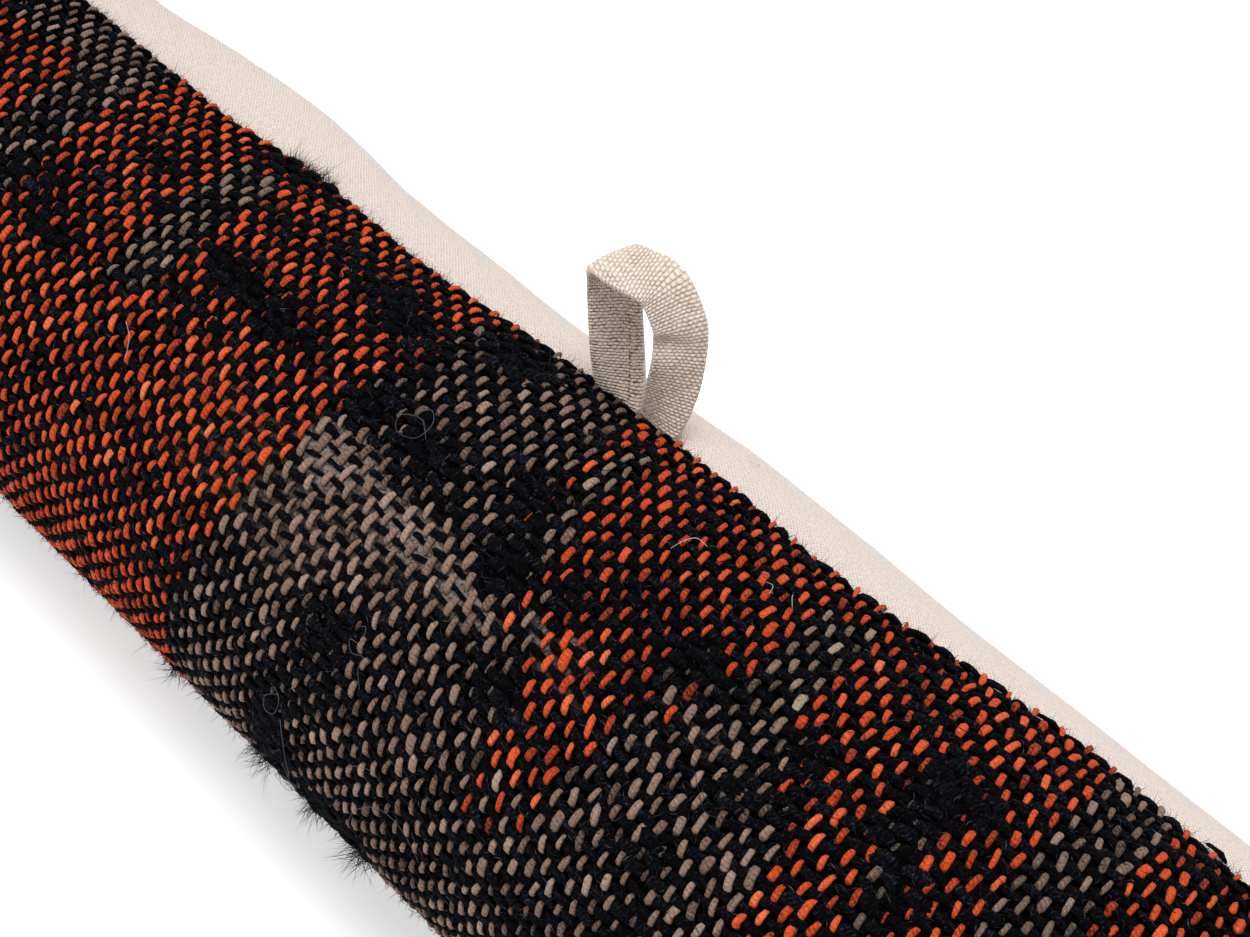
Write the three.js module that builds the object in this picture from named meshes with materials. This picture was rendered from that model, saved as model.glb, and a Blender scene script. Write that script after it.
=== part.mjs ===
import * as THREE from 'three';

// Draught excluder: a long stuffed tube that lies along the foot of a door.
// A wool front panel and a cotton back panel meet in one seam that runs right round the tube,
// past both tips, and a short tape loop stands in the upper seam.
// Millimetres. +X runs along the tube, +Z is up, the front faces -Y, and it rests on z = 0.

// Driving sizes
const tubeLength = 900;           // covers a usual door leaf
const tipLength = 82;             // each rounded tip, within the length
const tipHeight = 47;             // height of the tip's centre above the floor
const sinkDepth = 6;              // how far the filled tube settles below a round section
const floorBlend = 3;             // height over which the flat underside turns into the side
const woolThickness = 2.4;        // coarse plain weave
const cottonStep = 0.6;           // the thinner cotton lies this far below the wool's face
const clearance = 0.3;            // between neighbouring pieces
const seamDip = 1.6;              // how far the seam pulls both panels in
const seamDipReach = 4.5;         // along the cloth, to each side of the seam
const bulgeCentre = 76;           // where the back swells most, degrees past the top
const bulgeReach = 38;            // degrees
const loopWidth = 11.6;
const loopThickness = 1.8;
const loopEdge = 0.45;            // rounding of the folded tape's long edges
const footHeight = 0.4;           // of the loop's feet above the seam

// Sections along the tube. radius: front half; seam: degrees by which the upper seam lies
// behind the top; drift: degrees by which the lower seam leaves the opposite point; bulge: extra
// swell of the cotton back
const sections = [
  { x: -450, radius: 58.0, seam: 34.0, drift: 0.0, bulge: 1.5 },
  { x: -370, radius: 59.5, seam: 35.5, drift: 1.5, bulge: 3.0 },
  { x: -290, radius: 61.0, seam: 37.0, drift: -1.0, bulge: 2.0 },
  { x: -220, radius: 59.4, seam: 35.0, drift: 1.0, bulge: 3.5 },
  { x: -160, radius: 58.3, seam: 34.2, drift: 0.0, bulge: 4.2 },
  { x: -132, radius: 58.5, seam: 33.2, drift: -0.5, bulge: 5.6 },
  { x: -105, radius: 59.1, seam: 36.2, drift: -1.0, bulge: 4.6 },
  { x: -62, radius: 60.0, seam: 34.8, drift: 0.5, bulge: 2.2 },
  { x: 0, radius: 61.3, seam: 38.3, drift: 1.0, bulge: 2.2 },
  { x: 57, radius: 62.5, seam: 34.0, drift: -0.5, bulge: 1.4 },
  { x: 85, radius: 63.1, seam: 35.0, drift: -1.5, bulge: 0.6 },
  { x: 120, radius: 63.7, seam: 39.2, drift: 0.5, bulge: 0.0 },
  { x: 190, radius: 62.6, seam: 36.5, drift: 1.5, bulge: 1.2 },
  { x: 270, radius: 60.6, seam: 34.6, drift: -1.0, bulge: 2.6 },
  { x: 350, radius: 61.4, seam: 36.8, drift: 0.0, bulge: 1.6 },
  { x: 450, radius: 59.0, seam: 35.0, drift: 0.0, bulge: 1.5 },
];

// The loop's centre line from foot to foot, measured from the seam below it. along: +X; rise: +Z;
// back: +Y; turn: degrees of the tape's width away from +X; lift: degrees of the width above level
const loopPath = [
  { along: -6.2, rise: 0.4, back: 0.1, turn: 0, lift: 0 },
  { along: -8.6, rise: 7.4, back: 1.6, turn: 26, lift: 0 },
  { along: -11.1, rise: 16.1, back: 3.5, turn: 44, lift: 0 },
  { along: -13.1, rise: 23.9, back: 5.2, turn: 46, lift: 0 },
  { along: -14.3, rise: 29.8, back: 6.3, turn: 52, lift: 6 },
  { along: -13.6, rise: 35.2, back: 6.0, turn: 62, lift: 12 },
  { along: -8.3, rise: 38.0, back: 6.5, turn: 68, lift: 15 },
  { along: -1.7, rise: 36.1, back: 7.8, turn: 64, lift: 15 },
  { along: 2.8, rise: 30.4, back: 7.8, turn: 58, lift: 10 },
  { along: 4.5, rise: 25.4, back: 7.2, turn: 50, lift: 3 },
  { along: 5.5, rise: 17.6, back: 5.1, turn: 44, lift: -1 },
  { along: 6.0, rise: 8.6, back: 2.6, turn: 28, lift: 0 },
  { along: 6.0, rise: 0.4, back: 0.1, turn: 0, lift: 0 },
];

// Steps of the meshes
const straightSteps = 36;
const tipSteps = 7;
const woolSteps = 20;
const cottonSteps = 18;
const loopSteps = 44;
const seamCrowding = 0.7;         // 0: even steps across a panel, 1: much closer near the seams
const slopeStep = 0.5;            // mm or degrees, for working out which way the face points

// The smooth value of one column of the table of sections at x
function sectionValue(column, x) {
  const last = sections.length - 2;
  let row = 0;
  while (row < last && sections[row + 1].x < x) row += 1;
  const pick = (index) => sections[Math.min(Math.max(index, 0), sections.length - 1)][column];
  const share = (x - sections[row].x) / (sections[row + 1].x - sections[row].x);
  return catmull(pick(row - 1), pick(row), pick(row + 1), pick(row + 2), share);
}

function catmull(before, start, end, after, share) {
  const slopeStart = (end - before) / 2;
  const slopeEnd = (after - start) / 2;
  const square = share * share;
  const cube = square * share;
  return (2 * cube - 3 * square + 1) * start + (cube - 2 * square + share) * slopeStart
    + (3 * square - 2 * cube) * end + (cube - square) * slopeEnd;
}

// A place along the tube is an x on its straight part, where tip is 0, or else an angle round a
// tip. This gives its x and how much of the full section is left there
function station(place) {
  const straightHalf = tubeLength / 2 - tipLength;
  if (place.tip === 0) return { x: place.x, size: 1 };
  const pastStraight = tipLength * Math.sin(Math.abs(place.tip));
  return { x: Math.sign(place.tip) * (straightHalf + pastStraight), size: Math.cos(place.tip) };
}

// The floor takes the tube's weight: heights below -floorBlend become 0, and turn smoothly into
// the rounded side above it
function restOnFloor(height) {
  if (height <= -floorBlend) return 0;
  if (height >= floorBlend) return height;
  return (height + floorBlend) ** 2 / (4 * floorBlend);
}

// Degrees from the top at which the two seams run, positive towards the front
function seamAngles(x) {
  const upper = -sectionValue('seam', x);
  return { upper, lower: 180 + upper + sectionValue('drift', x) };
}

// A point of the tube's face. angle: degrees from the top, positive towards the front
function facePoint(place, angle) {
  const { x, size } = station(place);
  const radius = sectionValue('radius', x);
  const seams = seamAngles(x);
  const degree = (radius * Math.PI) / 180;
  const toSeam = Math.min(
    Math.abs(angle - seams.upper),
    Math.abs(angle - seams.lower),
    Math.abs(angle - 360 - seams.upper),
  ) * degree;
  const past = angle > 180 ? 360 - angle : -angle;
  const bulge = sectionValue('bulge', x) * Math.exp(-(((past - bulgeCentre) / bulgeReach) ** 2));
  const dip = seamDip * Math.exp(-((toSeam / seamDipReach) ** 2));
  const reach = (radius + bulge - dip) * size;
  const centre = (radius - sinkDepth) * size + tipHeight * (1 - size);
  const turn = THREE.MathUtils.degToRad(angle);
  const height = centre + reach * Math.cos(turn);
  return new THREE.Vector3(x, -reach * Math.sin(turn), restOnFloor(height));
}

// The point a small step further along the tube
function nextPlace(place, step) {
  if (place.tip === 0) return { ...place, x: place.x + step };
  return { ...place, tip: place.tip + step / tipLength };
}

// The same point moved inwards, square to the face
function insetPoint(place, angle, depth) {
  const along = facePoint(nextPlace(place, slopeStep), angle)
    .sub(facePoint(nextPlace(place, -slopeStep), angle));
  const around = facePoint(place, angle + slopeStep).sub(facePoint(place, angle - slopeStep));
  const outward = around.cross(along).normalize();
  return facePoint(place, angle).addScaledVector(outward, -depth);
}

// Places between the two tips, the tips themselves left out
function places() {
  const straightHalf = tubeLength / 2 - tipLength;
  const list = [];
  for (let i = tipSteps - 1; i > 0; i -= 1) {
    list.push({ tip: -(i / tipSteps) * (Math.PI / 2) });
  }
  for (let i = 0; i <= straightSteps; i += 1) {
    list.push({ tip: 0, x: straightHalf * ((2 * i) / straightSteps - 1) });
  }
  for (let i = 1; i < tipSteps; i += 1) {
    list.push({ tip: (i / tipSteps) * (Math.PI / 2) });
  }
  return list;
}

// Shares of a panel's width, closer together near its two seams
function panelShares(steps) {
  const shares = [];
  for (let i = 0; i <= steps; i += 1) {
    const even = i / steps;
    const eased = (1 - Math.cos(Math.PI * even)) / 2;
    shares.push(even + (eased - even) * seamCrowding);
  }
  return shares;
}

// One long half of the tube from tip to tip, as rows of points between two angles at one depth
function halfRows(angles, steps, depth) {
  return places().map((place) => {
    const { from, to } = angles(station(place).x);
    return panelShares(steps).map((share) => insetPoint(place, from + (to - from) * share, depth));
  });
}

function tipPoint(side, depth) {
  return new THREE.Vector3(side * (tubeLength / 2 - depth), 0, tipHeight);
}

// Two long halves of the tube that close on each other: every ring runs along the first half's
// row of points and back along the second's, and the halves also meet at their own tip points
function ringMesh(first, second) {
  const points = [];
  const faces = [];
  const addPoint = (point) => points.push(point.x, point.y, point.z) / 3 - 1;
  const rings = first.rows.map((row, index) => [...row, ...second.rows[index]].map(addPoint));
  const firstTips = first.tips.map(addPoint);
  const secondTips = second.tips.map(addPoint);
  const tipOf = (place, end) => (place < first.rows[0].length ? firstTips[end] : secondTips[end]);
  const count = rings[0].length;
  const last = rings[rings.length - 1];
  for (let place = 0; place < count; place += 1) {
    const next = (place + 1) % count;
    for (let i = 0; i + 1 < rings.length; i += 1) {
      faces.push(rings[i][place], rings[i][next], rings[i + 1][next]);
      faces.push(rings[i][place], rings[i + 1][next], rings[i + 1][place]);
    }
    faces.push(tipOf(place, 0), rings[0][next], rings[0][place]);
    faces.push(last[place], last[next], tipOf(place, 1));
    if (tipOf(place, 0) !== tipOf(next, 0)) {
      faces.push(tipOf(place, 0), tipOf(next, 0), rings[0][next]);
      faces.push(last[next], tipOf(next, 1), tipOf(place, 1));
    }
  }
  return closedGeometry(points, faces);
}

function closedGeometry(points, faces) {
  const geometry = new THREE.BufferGeometry();
  geometry.setAttribute('position', new THREE.Float32BufferAttribute(points, 3));
  geometry.setIndex(faces);
  geometry.computeVertexNormals();
  return geometry;
}

const frontAngles = (x) => ({ from: seamAngles(x).upper, to: seamAngles(x).lower });
const backAngles = (x) => ({ from: seamAngles(x).lower, to: seamAngles(x).upper + 360 });

function halfOfTube(angles, steps, depth) {
  return {
    rows: halfRows(angles, steps, depth),
    tips: [tipPoint(-1, depth), tipPoint(1, depth)],
  };
}

// The wool front: a half shell from seam to seam and from tip to tip
function woolFront() {
  const face = halfOfTube(frontAngles, woolSteps, 0);
  const underside = halfOfTube(frontAngles, woolSteps, woolThickness);
  underside.rows.forEach((row) => row.reverse());
  return ringMesh(face, underside);
}

// The filled tube with its cotton back: full size behind the seams, set in where the wool lies
function cottonBack() {
  const back = halfOfTube(backAngles, cottonSteps, cottonStep);
  const underWool = halfOfTube(frontAngles, woolSteps, woolThickness + clearance);
  return ringMesh(back, underWool);
}

// The loop's centre line and the direction of its width, at even steps from foot to foot
function loopFrames() {
  const foot = facePoint({ x: 0, tip: 0 }, seamAngles(0).upper);
  const rows = loopPath.length - 1;
  const frames = [];
  for (let i = 0; i <= loopSteps; i += 1) {
    const place = (i / loopSteps) * rows;
    const row = Math.min(Math.floor(place), rows - 1);
    const pick = (column, index) => loopPath[Math.min(Math.max(index, 0), rows)][column];
    const value = (column) => catmull(
      pick(column, row - 1),
      pick(column, row),
      pick(column, row + 1),
      pick(column, row + 2),
      place - row,
    );
    const turn = THREE.MathUtils.degToRad(value('turn'));
    const lift = THREE.MathUtils.degToRad(value('lift'));
    frames.push({
      centre: new THREE.Vector3(value('along'), value('back'), value('rise')).add(foot),
      width: new THREE.Vector3(
        Math.cos(turn) * Math.cos(lift),
        Math.sin(turn) * Math.cos(lift),
        Math.sin(lift),
      ),
    });
  }
  frames.forEach((frame, index) => {
    const before = frames[Math.max(index - 1, 0)].centre;
    const after = frames[Math.min(index + 1, loopSteps)].centre;
    frame.run = after.clone().sub(before).normalize();
    frame.width.addScaledVector(frame.run, -frame.width.dot(frame.run)).normalize();
    frame.face = frame.width.clone().cross(frame.run).normalize();
  });
  return frames;
}

// The tape's section: a flat strip whose long edges are folded round
function tapeSection() {
  const half = loopWidth / 2;
  const thick = loopThickness / 2;
  return [
    [-half, -thick + loopEdge], [-half + loopEdge, -thick],
    [half - loopEdge, -thick], [half, -thick + loopEdge],
    [half, thick - loopEdge], [half - loopEdge, thick],
    [-half + loopEdge, thick], [-half, thick - loopEdge],
  ];
}

// The tape loop, its two feet cut parallel to the seam that they stand on
function hangingLoop() {
  const upper = seamAngles(0).upper;
  const seat = facePoint({ x: 0, tip: 0 }, upper);
  const tilt = THREE.MathUtils.degToRad(-upper);
  const outward = new THREE.Vector3(0, Math.sin(tilt), Math.cos(tilt));
  const heightOf = (point) => point.clone().sub(seat).dot(outward) - footHeight;
  const rings = loopFrames().map((frame) => tapeSection().map(([across, through]) => ({
    run: frame.run,
    point: frame.centre.clone()
      .addScaledVector(frame.width, across)
      .addScaledVector(frame.face, through),
  })));
  const ends = [rings[0], rings[rings.length - 1]];
  ends.flat().forEach(({ run, point }) => {
    point.addScaledVector(run, -heightOf(point) / run.dot(outward));
  });
  const isClear = (ring) => ring.every(({ point }) => heightOf(point) > footHeight);
  const clear = rings.slice(1, -1).filter(isClear);
  const kept = [ends[0], ...clear, ends[1]];
  const points = kept.flat().flatMap(({ point }) => point.toArray());
  const faces = [];
  const count = ends[0].length;
  for (let i = 0; i + 1 < kept.length; i += 1) {
    for (let j = 0; j < count; j += 1) {
      const a = i * count + j;
      const b = i * count + ((j + 1) % count);
      faces.push(a, b + count, b, a, a + count, b + count);
    }
  }
  const top = (kept.length - 1) * count;
  for (let j = 1; j + 1 < count; j += 1) {
    faces.push(0, j, j + 1);
    faces.push(top, top + j + 1, top + j);
  }
  return closedGeometry(points, faces);
}

const woolCloth = new THREE.MeshStandardMaterial({ color: '#5a3326', roughness: 0.95, metalness: 0 });
const cottonCloth = new THREE.MeshStandardMaterial({ color: '#e8ded2', roughness: 0.9, metalness: 0 });
const canvasTape = new THREE.MeshStandardMaterial({ color: '#bba98f', roughness: 0.9, metalness: 0 });

function addPiece(name, geometry, material) {
  const piece = new THREE.Mesh(geometry, material);
  piece.name = name;
  group.add(piece);
  return piece;
}

const group = new THREE.Group();
const wool = addPiece('wool_front', woolFront(), woolCloth);
addPiece('cotton_back_filled', cottonBack(), cottonCloth);
addPiece('hanging_loop', hangingLoop(), canvasTape);

// The wool lies clear of the cotton's step along the seams
const fromSeams = THREE.MathUtils.degToRad(90 + seamAngles(0).upper);
wool.position.set(0, -Math.sin(fromSeams) * clearance, Math.cos(fromSeams) * clearance);

// Centred over the floor
const box = new THREE.Box3().setFromObject(group);
const centre = box.getCenter(new THREE.Vector3());
group.position.set(-centre.x, -centre.y, -box.min.z);

export default group;
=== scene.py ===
import math

import bpy
import numpy as np
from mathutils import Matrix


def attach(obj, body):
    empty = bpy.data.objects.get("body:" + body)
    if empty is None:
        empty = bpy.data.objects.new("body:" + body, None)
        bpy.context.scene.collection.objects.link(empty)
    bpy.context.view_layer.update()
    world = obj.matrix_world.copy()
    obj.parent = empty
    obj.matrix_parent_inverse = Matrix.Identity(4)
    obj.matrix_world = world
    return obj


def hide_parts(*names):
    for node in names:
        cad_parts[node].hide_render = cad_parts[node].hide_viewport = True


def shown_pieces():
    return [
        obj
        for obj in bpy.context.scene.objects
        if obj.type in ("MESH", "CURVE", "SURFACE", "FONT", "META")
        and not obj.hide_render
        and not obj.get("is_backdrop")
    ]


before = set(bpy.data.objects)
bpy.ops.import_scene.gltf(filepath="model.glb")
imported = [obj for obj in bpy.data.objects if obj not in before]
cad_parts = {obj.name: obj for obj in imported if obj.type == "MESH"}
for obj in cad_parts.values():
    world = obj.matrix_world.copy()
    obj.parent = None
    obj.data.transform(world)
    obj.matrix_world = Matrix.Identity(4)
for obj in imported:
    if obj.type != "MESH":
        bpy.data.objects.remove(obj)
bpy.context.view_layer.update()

# Draught excluder: a stuffed tube with a coarse wool front, a cotton back and a tape loop.
# Lengths here are in millimetres and angles in degrees until a mesh is made.
mm = 0.001

# The tube's form, as the CAD solids have it. back and down are its place in the frame
tube = {
    "halfStraight": 368.0,
    "tipLength": 82.0,
    "tipHeight": 47.0,
    "tipRadius": 59.0,
    "sink": 6.0,
    "floorBlend": 3.0,
    "seamDip": 1.6,
    "seamDipReach": 4.5,
    "bulgeCentre": 76.0,
    "bulgeReach": 38.0,
    "back": 0.396,
    "down": 0.600,
}

# Along the tube: x, radius, upper seam's angle behind the top, lower seam's drift, back's bulge
sections = np.array([
    [-450, 58.0, 34.0, 0.0, 1.5],
    [-370, 59.5, 35.5, 1.5, 3.0],
    [-290, 61.0, 37.0, -1.0, 2.0],
    [-220, 59.4, 35.0, 1.0, 3.5],
    [-160, 58.3, 34.2, 0.0, 4.2],
    [-132, 58.5, 33.2, -0.5, 5.6],
    [-105, 59.1, 36.2, -1.0, 4.6],
    [-62, 60.0, 34.8, 0.5, 2.2],
    [0, 61.3, 38.3, 1.0, 2.2],
    [57, 62.5, 34.0, -0.5, 1.4],
    [85, 63.1, 35.0, -1.5, 0.6],
    [120, 63.7, 39.2, 0.5, 0.0],
    [190, 62.6, 36.5, 1.5, 1.2],
    [270, 60.6, 34.6, -1.0, 2.6],
    [350, 61.4, 36.8, 0.0, 1.6],
    [450, 59.0, 35.0, 0.0, 1.5],
])


# Smooth curve through the rows of a table: each piece is a cubic whose end slopes are half the
# difference of the neighbouring rows
def smoothRows(table, place):
    rows = len(table) - 1
    row = np.clip(place.astype(int), 0, rows - 1)
    share = (place - row)[:, None]
    pick = lambda index: table[np.clip(index, 0, rows)]
    start, end = pick(row), pick(row + 1)
    slopeStart = (end - pick(row - 1)) / 2
    slopeEnd = (pick(row + 2) - start) / 2
    square, cube = share**2, share**3
    return ((2 * cube - 3 * square + 1) * start + (cube - 2 * square + share) * slopeStart
            + (3 * square - 2 * cube) * end + (cube - square) * slopeEnd)


sectionX = np.linspace(-450, 450, 1801)
sectionPlace = np.interp(sectionX, sections[:, 0], np.arange(len(sections)))
sectionRows = smoothRows(sections[:, 1:], sectionPlace)

# Length of cloth round a tip, from the straight part to the end, against the angle round it
tipTurn = np.linspace(0, math.pi / 2, 400)
tipStep = np.hypot(tube["tipLength"] * np.cos(tipTurn), tube["tipRadius"] * np.sin(tipTurn))
tipRun = np.concatenate([[0], np.cumsum((tipStep[1:] + tipStep[:-1]) / 2 * np.diff(tipTurn))])
halfRun = tube["halfStraight"] + tipRun[-1]


def sectionAt(x):
    return [np.interp(x, sectionX, column) for column in sectionRows.T]


def unit(vectors):
    return vectors / np.maximum(np.linalg.norm(vectors, axis=-1, keepdims=True), 1e-9)


# run is the length of cloth from the middle of the tube. Round a tip x follows a sine and the
# section shrinks by the cosine
def station(run):
    turn = np.interp(np.abs(run) - tube["halfStraight"], tipRun, tipTurn)
    straight = np.minimum(np.abs(run), tube["halfStraight"])
    return np.sign(run) * (straight + tube["tipLength"] * np.sin(turn)), np.cos(turn)


# The dip of the face at a seam: e to the power of minus the square of the distance over its reach
def seamDip(toSeam):
    return tube["seamDip"] * np.exp(-((toSeam / tube["seamDipReach"]) ** 2))


# A point of the tube's face: a circle of the section's radius, less a dip at the seams and with
# a swell at the back, pressed flat where it would pass the floor
def facePoint(run, angle):
    x, size = station(run)
    radius, seam, drift, bulge = sectionAt(x)
    toUpper = np.abs(np.mod(angle + seam + 180, 360) - 180)
    toLower = np.abs(np.mod(angle + seam - drift, 360) - 180)
    toSeam = np.minimum(toUpper, toLower) * radius * math.pi / 180
    turned = np.mod(angle + 180, 360) - 180
    past = np.where(turned > 0, -turned, np.mod(-turned, 360))
    swell = bulge * np.exp(-(((past - tube["bulgeCentre"]) / tube["bulgeReach"]) ** 2))
    reach = (radius + swell - seamDip(toSeam)) * size
    centre = (radius - tube["sink"]) * size + tube["tipHeight"] * (1 - size)
    height = centre + reach * np.cos(np.radians(angle))
    blend = tube["floorBlend"]
    rest = np.clip((np.minimum(height, blend) + blend) / (2 * blend), 0, None) ** 2 * blend
    height = np.where(height < blend, rest, height)
    y = -reach * np.sin(np.radians(angle))
    return np.stack([x, y + tube["back"], height - tube["down"]], axis=-1)


# A point of the face moved outwards by height, square to the face. The face's directions are taken
# over a millimetre of run and a degree
def liftedPoint(run, angle, height):
    run = np.clip(run, -halfRun + 0.6, halfRun - 0.6)
    along = facePoint(run + 0.5, angle) - facePoint(run - 0.5, angle)
    around = facePoint(run, angle + 0.5) - facePoint(run, angle - 0.5)
    return facePoint(run, angle) + unit(np.cross(around, along)) * np.asarray(height)[..., None]


# The wool panel at a run: the section's share of its full size, the upper seam's angle, half the
# panel's breadth in degrees, and the millimetres in a degree
def panelAt(run):
    x, size = station(run)
    radius, seam, drift, _ = sectionAt(x)
    return size, seam, (180 + drift) / 2, radius * math.pi / 180


# Cloth coordinates of the wool panel: run along the tube, and across from the upper seam. The
# cloth is measured from the panel's middle, so that its rows run out at the seams round a tip
def panelAngle(run, across):
    size, seam, half, degree = panelAt(run)
    return half - seam + (across - half * degree) / (degree * np.maximum(size, 0.04))


# Millimetres of cloth between a place on the panel and the nearer seam, negative outside it
def toPanelEdge(run, across):
    size, _, half, degree = panelAt(run)
    return half * degree * size - np.abs(across - half * degree)


def clothPoint(run, across, height):
    return liftedPoint(run, panelAngle(run, across), height)


# Angles of the two seams and millimetres in a degree, as columns with a row for each run
def seamColumns(runs):
    _, seam, half, degree = panelAt(runs)
    return -seam[:, None], (2 * half - seam)[:, None], degree[:, None]


# Soft noise from 0 to 1: random values on a square grid of the given size, eased between
def softNoise(seed, x, y, size):
    table = np.random.default_rng(seed).random((64, 64))
    x, y = np.asarray(x) / size + 100, np.asarray(y) / size + 100
    column, row = np.floor(x).astype(int), np.floor(y).astype(int)
    shareX, shareY = x - column, y - row
    shareX, shareY = shareX**2 * (3 - 2 * shareX), shareY**2 * (3 - 2 * shareY)
    pick = lambda a, b: table[(column + a) % 64, (row + b) % 64]
    low = pick(0, 0) * (1 - shareX) + pick(1, 0) * shareX
    high = pick(0, 1) * (1 - shareX) + pick(1, 1) * shareX
    return low * (1 - shareY) + high * shareY


# The same noise about zero, with reach between its lowest and highest value
def wander(seed, x, y, size, reach):
    return (softNoise(seed, x, y, size) - 0.5) * reach


# Faces of a tube of rings that is closed to a point at both ends. Its points are the first end,
# the rings one after another, and the last end
def ringFaces(rings, around):
    index = 1 + np.arange(rings * around).reshape(rings, around)
    following = np.roll(index, -1, axis=1)
    sides = np.stack([index[:-1], following[:-1], following[1:], index[1:]], axis=-1)
    first = np.stack([np.zeros(around, int), following[0], index[0]], axis=1)
    last = np.stack([np.full(around, rings * around + 1), index[-1], following[-1]], axis=1)
    return [sides.reshape(-1, 4), np.concatenate([first, last])]


# The same faces for each of count copies, size points apart
def copiedFaces(faces, count, size):
    offset = (np.arange(count) * size)[:, None, None]
    return [(group + offset).reshape(-1, group.shape[1]) for group in faces]


# Points and faces of several meshes as one. Each part starts with its points and its faces
def joined(parts):
    starts = np.cumsum([0] + [len(part[0]) for part in parts[:-1]])
    faces = [np.concatenate([part[1][kind] + start for part, start in zip(parts, starts)])
             for kind in (0, 1)]
    return np.concatenate([part[0] for part in parts]), faces


# One mesh object from arrays: points in millimetres, and a list of face arrays, one for each
# number of corners. uv is a place on the cloth and values are attributes, for each point
def makePiece(name, points, faces, material, uv=None, values=None):
    mesh = bpy.data.meshes.new(name)
    corners = np.concatenate([group.ravel() for group in faces])
    sizes = np.concatenate([np.full(len(group), group.shape[1]) for group in faces])
    starts = np.concatenate([[0], np.cumsum(sizes)[:-1]])
    mesh.vertices.add(len(points))
    mesh.vertices.foreach_set("co", (np.asarray(points, float) * mm).ravel())
    mesh.loops.add(len(corners))
    mesh.loops.foreach_set("vertex_index", corners.astype(np.int32))
    mesh.polygons.add(len(starts))
    mesh.polygons.foreach_set("loop_start", starts.astype(np.int32))
    mesh.polygons.foreach_set("use_smooth", np.full(len(starts), True))
    if uv is not None:
        layer = mesh.uv_layers.new(name="ClothMap")
        layer.data.foreach_set("uv", np.asarray(uv, float)[corners].ravel())
    for key, column in (values or {}).items():
        attribute = mesh.attributes.new(key, "FLOAT", "POINT")
        attribute.data.foreach_set("value", np.asarray(column, np.float32))
    mesh.update(calc_edges=True)
    mesh.validate()
    mesh.materials.append(material)
    piece = bpy.data.objects.new(name, mesh)
    bpy.context.scene.collection.objects.link(piece)
    print(name, int((sizes - 2).sum()), "triangles")
    return piece


# sRGB hex to linear colour
def colour(text):
    parts = [int(text[i:i + 2], 16) / 255 for i in (0, 2, 4)]
    return [p / 12.92 if p <= 0.04045 else ((p + 0.055) / 1.055) ** 2.4 for p in parts] + [1]


# Adds a node with its settings and input values. An input given as (node, output) is linked, and
# i0 is the first input. stops: a ramp's colours, as {position: hex}. to: the socket that takes
# the node's first output
def addNode(tree, kind, settings=None, stops=None, to=None, **inputs):
    node = tree.nodes.new("ShaderNode" + kind)
    for key, value in (settings or {}).items():
        setattr(node, key, value)
    for key, value in inputs.items():
        socket = node.inputs[int(key[1:]) if key[1:].isdigit() else key.replace("_", " ")]
        if isinstance(value, tuple) and isinstance(value[0], bpy.types.Node):
            tree.links.new(value[0].outputs[value[1]], socket)
        else:
            socket.default_value = value
    if stops:
        places = sorted(stops)
        while len(node.color_ramp.elements) < len(places):
            node.color_ramp.elements.new(0.5)
        for element, place in zip(node.color_ramp.elements, places):
            element.position = place
            element.color = colour(stops[place])
    if to:
        tree.links.new(node.outputs[0], to)
    return node


def newMaterial(name, **shaderValues):
    material = bpy.data.materials.new(name)
    material.use_nodes = True
    shader = material.node_tree.nodes["Principled BSDF"]
    for key, value in shaderValues.items():
        shader.inputs[key.replace("_", " ")].default_value = value
    return material, material.node_tree, shader


# settings of the Math nodes
multiply, multiplyAdd, subtract = [
    {"operation": name} for name in ("MULTIPLY", "MULTIPLY_ADD", "SUBTRACT")]

# Camera, at the photograph's viewing angle
camera = {
    "place": (193.0, -163.9, 492.4),
    "azimuth": 44.44,
    "elevation": 55.73,
    "lens": 63.36,
}
cameraData = bpy.data.cameras.new("camera")
cameraData.sensor_width = 36
cameraData.lens = camera["lens"]
cameraData.clip_start = 0.01
cameraData.clip_end = 20
cameraObject = bpy.data.objects.new("camera", cameraData)
bpy.context.scene.collection.objects.link(cameraObject)
cameraObject.location = [value * mm for value in camera["place"]]
cameraObject.rotation_euler = (
    math.radians(90 - camera["elevation"]), 0, math.radians(camera["azimuth"]))
bpy.context.scene.camera = cameraObject

# Studio: a white floor and two large soft lights. Its lengths are in metres
studio = {
    "floorColour": "FAFAFA",
    "floorSize": 6.0,
    "floorGlow": 0.40,
    "skyStrength": 0.34,
    "keyPlace": (0.10, 0.15, 1.5),
    "keySize": 0.8,
    "keyPower": 19.0,
    "fillPlace": (-0.8, -1.5, 0.8),
    "fillSize": 1.6,
    "fillPower": 11.0,
}
white = (1, 1, 1, 1)
bpy.context.scene.view_settings.view_transform = "Standard"
world = bpy.data.worlds.new("studioSky")
world.use_nodes = True
world.node_tree.nodes["Background"].inputs["Color"].default_value = white
world.node_tree.nodes["Background"].inputs["Strength"].default_value = studio["skyStrength"]
bpy.context.scene.world = world

floorHalf = studio["floorSize"] / 2 / mm
floorCorners = np.array([[-1, -1, 0], [1, -1, 0], [1, 1, 0], [-1, 1, 0]]) * floorHalf
paper, _, _ = newMaterial("whitePaper", Roughness=0.9, Base_Color=colour(studio["floorColour"]),
                          Emission_Color=white, Emission_Strength=studio["floorGlow"])
makePiece("floor", floorCorners, [np.array([[0, 1, 2, 3]])], paper)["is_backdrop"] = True

for name in ("key", "fill"):
    lamp = bpy.data.lights.new(name, "AREA")
    lamp.shape = "SQUARE"
    lamp.size = studio[name + "Size"]
    lamp.energy = studio[name + "Power"]
    lampObject = bpy.data.objects.new(name, lamp)
    lampObject.location = studio[name + "Place"]
    aim = -lampObject.location
    lampObject.rotation_euler = aim.to_track_quat("-Z", "Y").to_euler()
    bpy.context.scene.collection.objects.link(lampObject)
print("studio done")

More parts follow.
